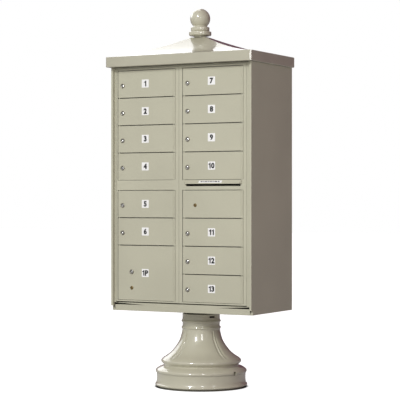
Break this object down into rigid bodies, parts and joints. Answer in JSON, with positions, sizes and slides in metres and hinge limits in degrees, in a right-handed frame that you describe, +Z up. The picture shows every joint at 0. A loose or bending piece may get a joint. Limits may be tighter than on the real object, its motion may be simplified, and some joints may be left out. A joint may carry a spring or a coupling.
{
  "type": "cluster mailbox unit",
  "caption": "Pedestal-mounted cluster mailbox: cabinet of lockable tenant compartments, parcel locker and outgoing slot behind master doors, hip roof with ball finial, bell base",
  "frame": {"origin": "centre of the roof's outline, on the ground", "axes": "+Z up, the doors face -Y, +X to the right as seen from the front"},
  "size_m": [0.775, 0.457, 1.7905],
  "materials": {
    "coated_cabinet": "satin beige powder coat on aluminium sheet",
    "coated_doors": "satin beige powder coat on aluminium sheet",
    "bare_aluminium": "bare mill finish",
    "gloss_casting": "glossy beige enamel on cast aluminium",
    "coated_steel": "satin beige paint on welded steel",
    "lock_chrome": "polished chrome plate",
    "lock_brass": "dull brass",
    "plated_steel": "zinc plated"
  },
  "bodies": {
    "cabinet": {"left_side_panel": "coated_cabinet", "right_side_panel": "coated_cabinet", "floor_pan": "coated_cabinet", "top_pan": "coated_cabinet", "back_panel": "coated_cabinet", "left_shelf_rack": "bare_aluminium", "right_shelf_rack": "bare_aluminium", "roof_cap": "coated_cabinet", "finial": "gloss_casting", "pedestal_post": "coated_steel", "pedestal_cover": "gloss_casting"},
    "left_master_door": {"left_master_frame": "coated_cabinet"},
    "right_master_door": {"right_master_frame": "coated_cabinet", "slot_hood": "coated_cabinet"},
    "latch": {"master_latch": "plated_steel"},
    "door_01_leaf": {"door_01": "coated_doors", "lock_01_housing": "lock_chrome"},
    "lock_01_cylinder": {"lock_01_plug": "lock_chrome"},
    "door_02_leaf": {"door_02": "coated_doors", "lock_02_housing": "lock_chrome"},
    "lock_02_cylinder": {"lock_02_plug": "lock_chrome"},
    "door_03_leaf": {"door_03": "coated_doors", "lock_03_housing": "lock_chrome"},
    "lock_03_cylinder": {"lock_03_plug": "lock_chrome"},
    "door_04_leaf": {"door_04": "coated_doors", "lock_04_housing": "lock_chrome"},
    "lock_04_cylinder": {"lock_04_plug": "lock_chrome"},
    "door_05_leaf": {"door_05": "coated_doors", "lock_05_housing": "lock_chrome"},
    "lock_05_cylinder": {"lock_05_plug": "lock_chrome"},
    "door_06_leaf": {"door_06": "coated_doors", "lock_06_housing": "lock_chrome"},
    "lock_06_cylinder": {"lock_06_plug": "lock_chrome"},
    "door_07_leaf": {"door_07": "coated_doors", "lock_07_housing": "lock_chrome"},
    "lock_07_cylinder": {"lock_07_plug": "lock_chrome"},
    "door_08_leaf": {"door_08": "coated_doors", "lock_08_housing": "lock_chrome"},
    "lock_08_cylinder": {"lock_08_plug": "lock_chrome"},
    "door_09_leaf": {"door_09": "coated_doors", "lock_09_housing": "lock_chrome"},
    "lock_09_cylinder": {"lock_09_plug": "lock_chrome"},
    "door_10_leaf": {"door_10": "coated_doors", "lock_10_housing": "lock_chrome"},
    "lock_10_cylinder": {"lock_10_plug": "lock_chrome"},
    "door_11_leaf": {"door_11": "coated_doors", "lock_11_housing": "lock_chrome"},
    "lock_11_cylinder": {"lock_11_plug": "lock_chrome"},
    "door_12_leaf": {"door_12": "coated_doors", "lock_12_housing": "lock_chrome"},
    "lock_12_cylinder": {"lock_12_plug": "lock_chrome"},
    "door_13_leaf": {"door_13": "coated_doors", "lock_13_housing": "lock_chrome"},
    "lock_13_cylinder": {"lock_13_plug": "lock_chrome"},
    "parcel_door_leaf": {"parcel_door": "coated_doors", "parcel_lock_housing": "lock_chrome"},
    "parcel_lock_cylinder": {"parcel_lock_plug": "lock_chrome"},
    "parcel_carrier_lock_cylinder": {"parcel_carrier_lock": "lock_brass"},
    "outgoing_door_leaf": {"outgoing_door": "coated_doors"},
    "outgoing_carrier_lock_cylinder": {"outgoing_carrier_lock": "lock_brass"}
  },
  "joints": [
    {"name": "left_master_hinge", "type": "hinge", "parent": "cabinet", "child": "left_master_door", "pos_m": [-0.3557, -0.1826, 0.95375], "axis": [0, 0, -1], "range_deg": [0, 95]},
    {"name": "right_master_hinge", "type": "hinge", "parent": "cabinet", "child": "right_master_door", "pos_m": [0.3428, -0.1826, 0.95375], "axis": [0, 0, 1], "range_deg": [0, 90]},
    {"name": "master_latch_lift", "type": "slide", "parent": "right_master_door", "child": "latch", "axis": [0, 0, 1], "range_m": [0, 0.013]},
    {"name": "door_01_hinge", "type": "hinge", "parent": "left_master_door", "child": "door_01_leaf", "pos_m": [-0.0366, -0.1776, 1.431], "axis": [0, 0, 1], "range_deg": [0, 90]},
    {"name": "lock_01_turn", "type": "hinge", "parent": "door_01_leaf", "child": "lock_01_cylinder", "pos_m": [-0.3193, -0.1826, 1.424], "axis": [0, 1, 0], "range_deg": [0, 90]},
    {"name": "door_02_hinge", "type": "hinge", "parent": "left_master_door", "child": "door_02_leaf", "pos_m": [-0.0366, -0.1776, 1.301], "axis": [0, 0, 1], "range_deg": [0, 90]},
    {"name": "lock_02_turn", "type": "hinge", "parent": "door_02_leaf", "child": "lock_02_cylinder", "pos_m": [-0.3193, -0.1826, 1.294], "axis": [0, 1, 0], "range_deg": [0, 90]},
    {"name": "door_03_hinge", "type": "hinge", "parent": "left_master_door", "child": "door_03_leaf", "pos_m": [-0.0366, -0.1776, 1.171], "axis": [0, 0, 1], "range_deg": [0, 90]},
    {"name": "lock_03_turn", "type": "hinge", "parent": "door_03_leaf", "child": "lock_03_cylinder", "pos_m": [-0.3193, -0.1826, 1.164], "axis": [0, 1, 0], "range_deg": [0, 90]},
    {"name": "door_04_hinge", "type": "hinge", "parent": "left_master_door", "child": "door_04_leaf", "pos_m": [-0.0366, -0.1776, 1.041], "axis": [0, 0, 1], "range_deg": [0, 90]},
    {"name": "lock_04_turn", "type": "hinge", "parent": "door_04_leaf", "child": "lock_04_cylinder", "pos_m": [-0.3193, -0.1826, 1.034], "axis": [0, 1, 0], "range_deg": [0, 90]},
    {"name": "door_05_hinge", "type": "hinge", "parent": "left_master_door", "child": "door_05_leaf", "pos_m": [-0.0366, -0.1776, 0.8648], "axis": [0, 0, 1], "range_deg": [0, 90]},
    {"name": "lock_05_turn", "type": "hinge", "parent": "door_05_leaf", "child": "lock_05_cylinder", "pos_m": [-0.3193, -0.1826, 0.8578], "axis": [0, 1, 0], "range_deg": [0, 90]},
    {"name": "door_06_hinge", "type": "hinge", "parent": "left_master_door", "child": "door_06_leaf", "pos_m": [-0.0366, -0.1776, 0.7348], "axis": [0, 0, 1], "range_deg": [0, 90]},
    {"name": "lock_06_turn", "type": "hinge", "parent": "door_06_leaf", "child": "lock_06_cylinder", "pos_m": [-0.3193, -0.1826, 0.7278], "axis": [0, 1, 0], "range_deg": [0, 90]},
    {"name": "door_07_hinge", "type": "hinge", "parent": "right_master_door", "child": "door_07_leaf", "pos_m": [0.32, -0.1776, 1.431], "axis": [0, 0, 1], "range_deg": [0, 90]},
    {"name": "lock_07_turn", "type": "hinge", "parent": "door_07_leaf", "child": "lock_07_cylinder", "pos_m": [0.0347, -0.1826, 1.424], "axis": [0, 1, 0], "range_deg": [0, 90]},
    {"name": "door_08_hinge", "type": "hinge", "parent": "right_master_door", "child": "door_08_leaf", "pos_m": [0.32, -0.1776, 1.301], "axis": [0, 0, 1], "range_deg": [0, 90]},
    {"name": "lock_08_turn", "type": "hinge", "parent": "door_08_leaf", "child": "lock_08_cylinder", "pos_m": [0.0347, -0.1826, 1.294], "axis": [0, 1, 0], "range_deg": [0, 90]},
    {"name": "door_09_hinge", "type": "hinge", "parent": "right_master_door", "child": "door_09_leaf", "pos_m": [0.32, -0.1776, 1.171], "axis": [0, 0, 1], "range_deg": [0, 90]},
    {"name": "lock_09_turn", "type": "hinge", "parent": "door_09_leaf", "child": "lock_09_cylinder", "pos_m": [0.0347, -0.1826, 1.164], "axis": [0, 1, 0], "range_deg": [0, 90]},
    {"name": "door_10_hinge", "type": "hinge", "parent": "right_master_door", "child": "door_10_leaf", "pos_m": [0.32, -0.1776, 1.041], "axis": [0, 0, 1], "range_deg": [0, 90]},
    {"name": "lock_10_turn", "type": "hinge", "parent": "door_10_leaf", "child": "lock_10_cylinder", "pos_m": [0.0347, -0.1826, 1.034], "axis": [0, 1, 0], "range_deg": [0, 90]},
    {"name": "door_11_hinge", "type": "hinge", "parent": "right_master_door", "child": "door_11_leaf", "pos_m": [0.32, -0.1776, 0.7348], "axis": [0, 0, 1], "range_deg": [0, 90]},
    {"name": "lock_11_turn", "type": "hinge", "parent": "door_11_leaf", "child": "lock_11_cylinder", "pos_m": [0.0347, -0.1826, 0.7278], "axis": [0, 1, 0], "range_deg": [0, 90]},
    {"name": "door_12_hinge", "type": "hinge", "parent": "right_master_door", "child": "door_12_leaf", "pos_m": [0.32, -0.1776, 0.6048], "axis": [0, 0, 1], "range_deg": [0, 90]},
    {"name": "lock_12_turn", "type": "hinge", "parent": "door_12_leaf", "child": "lock_12_cylinder", "pos_m": [0.0347, -0.1826, 0.5978], "axis": [0, 1, 0], "range_deg": [0, 90]},
    {"name": "door_13_hinge", "type": "hinge", "parent": "right_master_door", "child": "door_13_leaf", "pos_m": [0.32, -0.1776, 0.4748], "axis": [0, 0, 1], "range_deg": [0, 90]},
    {"name": "lock_13_turn", "type": "hinge", "parent": "door_13_leaf", "child": "lock_13_cylinder", "pos_m": [0.0347, -0.1826, 0.4678], "axis": [0, 1, 0], "range_deg": [0, 90]},
    {"name": "parcel_door_hinge", "type": "hinge", "parent": "left_master_door", "child": "parcel_door_leaf", "pos_m": [-0.0366, -0.1776, 0.5398], "axis": [0, 0, 1], "range_deg": [0, 90]},
    {"name": "parcel_lock_turn", "type": "hinge", "parent": "parcel_door_leaf", "child": "parcel_lock_cylinder", "pos_m": [-0.2684, -0.1826, 0.544], "axis": [0, 1, 0], "range_deg": [0, 90]},
    {"name": "parcel_carrier_lock_turn", "type": "hinge", "parent": "parcel_door_leaf", "child": "parcel_carrier_lock_cylinder", "pos_m": [-0.2684, -0.1826, 0.468], "axis": [0, 1, 0], "range_deg": [0, 90]},
    {"name": "outgoing_door_hinge", "type": "hinge", "parent": "right_master_door", "child": "outgoing_door_leaf", "pos_m": [0.32, -0.1776, 0.8648], "axis": [0, 0, 1], "range_deg": [0, 90]},
    {"name": "outgoing_carrier_lock_turn", "type": "hinge", "parent": "outgoing_door_leaf", "child": "outgoing_carrier_lock_cylinder", "pos_m": [0.075, -0.1826, 0.8588], "axis": [0, 1, 0], "range_deg": [0, 90]}
  ]
}
